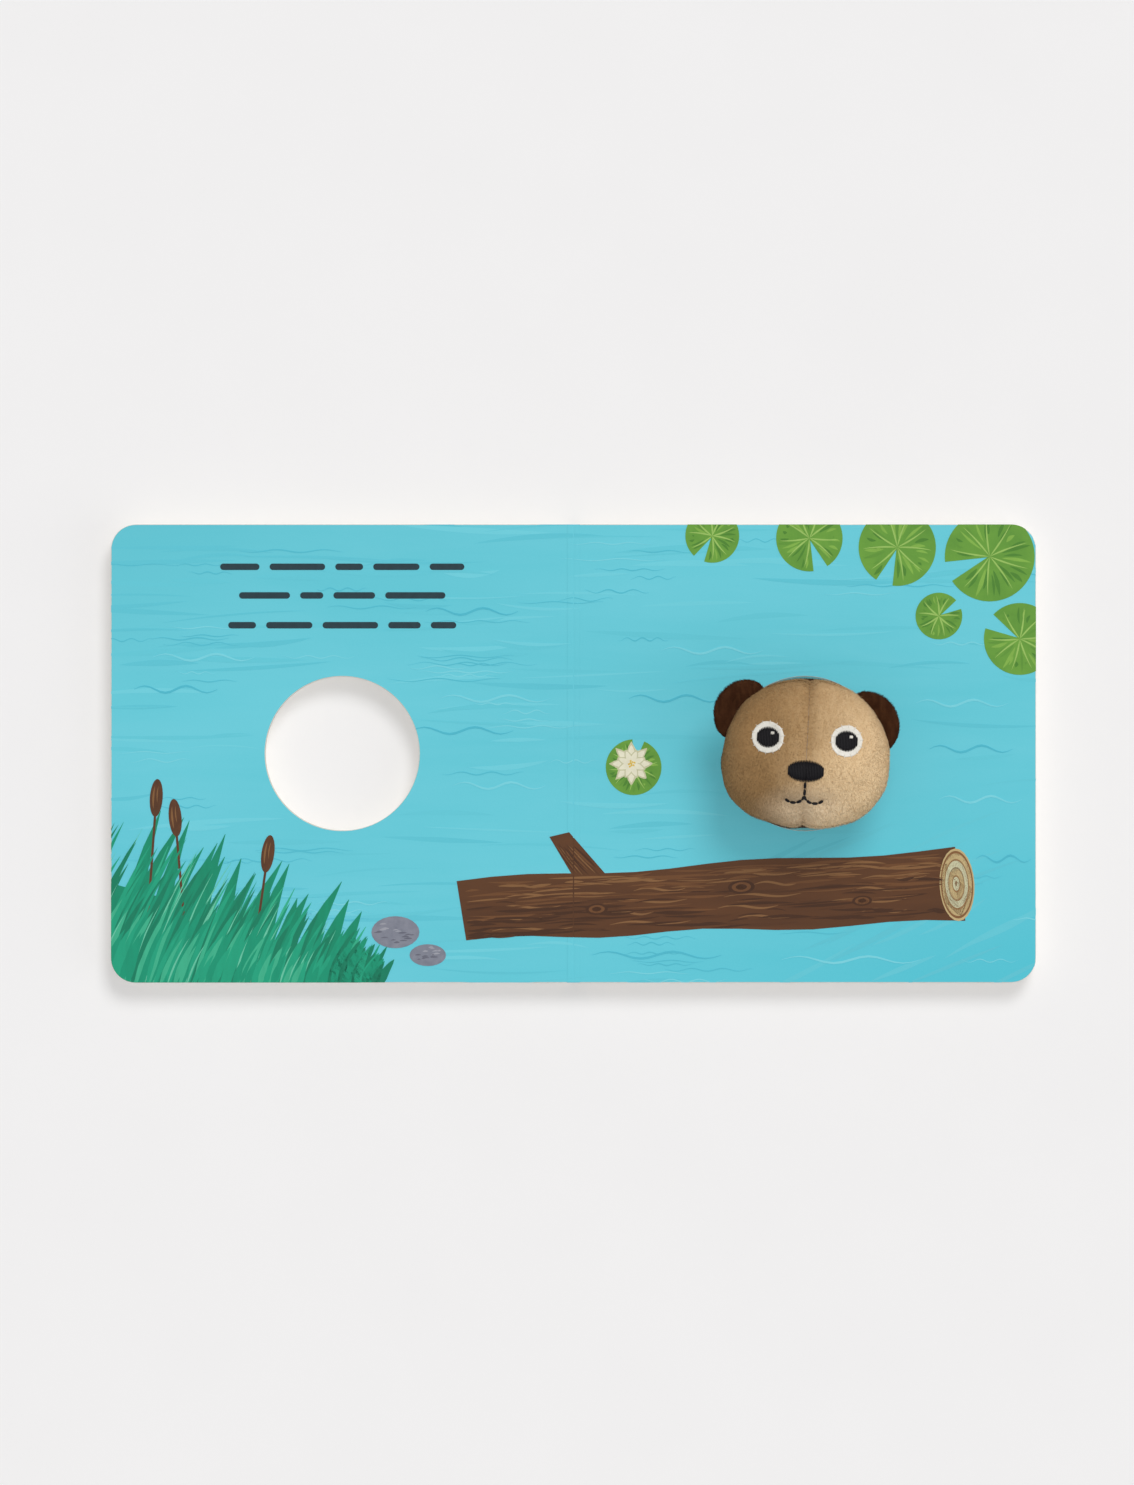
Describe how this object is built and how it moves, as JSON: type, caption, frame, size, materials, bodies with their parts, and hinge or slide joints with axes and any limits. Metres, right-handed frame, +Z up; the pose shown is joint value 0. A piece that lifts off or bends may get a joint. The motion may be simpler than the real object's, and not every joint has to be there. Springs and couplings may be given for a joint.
{
  "type": "finger puppet book",
  "caption": "Open square board book with a round hole through its pages and a plush animal head on a cloth finger sleeve standing in it.",
  "frame": {"origin": "on the table, under the middle of the gutter of the open book", "axes": "+X across the spread towards the puppet's page, +Y up the page, +Z up"},
  "size_m": [0.216, 0.107, 0.0401],
  "materials": {
    "cover_board": "satin",
    "page_board": "satin",
    "ink": "satin",
    "leaf_green": "satin",
    "light_green": "satin",
    "bark_brown": "satin",
    "light_brown": "satin",
    "stone_grey": "satin",
    "pale_water": "satin",
    "deep_water": "satin",
    "cream": "satin",
    "pad_green": "satin",
    "dark_plush": "matte",
    "tan_plush": "matte",
    "lining_cloth": "matte",
    "stuffing": "matte",
    "black_thread": "satin",
    "felt_white": "matte"
  },
  "bodies": {
    "back_half": {"back_cover": "cover_board", "back_lining": "page_board", "back_pages": "page_board", "right_log": "bark_brown", "right_bark_lines": "light_brown", "right_log_end": "cream", "right_lily_pads": "pad_green", "right_lily": "cream", "right_pale_ripples": "pale_water", "right_deep_ripples": "deep_water", "puppet_sleeve": "dark_plush"},
    "front_half": {"front_cover": "cover_board", "front_pages": "page_board", "left_text_bars": "ink", "left_reeds": "leaf_green", "left_reed_lights": "light_green", "left_cattails": "bark_brown", "left_log": "bark_brown", "left_bark_lines": "light_brown", "left_stones": "stone_grey", "left_pale_ripples": "pale_water", "left_deep_ripples": "deep_water"},
    "puppet_head": {"finger_pocket": "lining_cloth", "head_stuffing": "stuffing", "head_back": "dark_plush", "face_left": "tan_plush", "face_right": "tan_plush", "ear_left": "dark_plush", "ear_right": "dark_plush", "eye_disc_left": "felt_white", "eye_disc_right": "felt_white", "eye_left": "black_thread", "eye_right": "black_thread", "nose": "black_thread", "mouth_stitch": "black_thread"}
  },
  "joints": [
    {"name": "cover_hinge", "type": "hinge", "parent": "back_half", "child": "front_half", "pos_m": [0, 0, 0.00765], "axis": [0, 1, 0], "range_deg": [0, 180], "deforming": ["head_stuffing", "head_back", "face_left", "face_right", "ear_left", "ear_right", "eye_disc_left", "eye_disc_right", "eye_left", "eye_right", "nose", "mouth_stitch"]},
    {"name": "puppet_nod", "type": "hinge", "parent": "back_half", "child": "puppet_head", "pos_m": [0.054, 0, 0.0156], "axis": [0.9986, -0.0523, 0], "range_deg": [-12, 12], "stiffness_Nm_per_rad": 0.01, "deforming": ["puppet_sleeve"]}
  ]
}
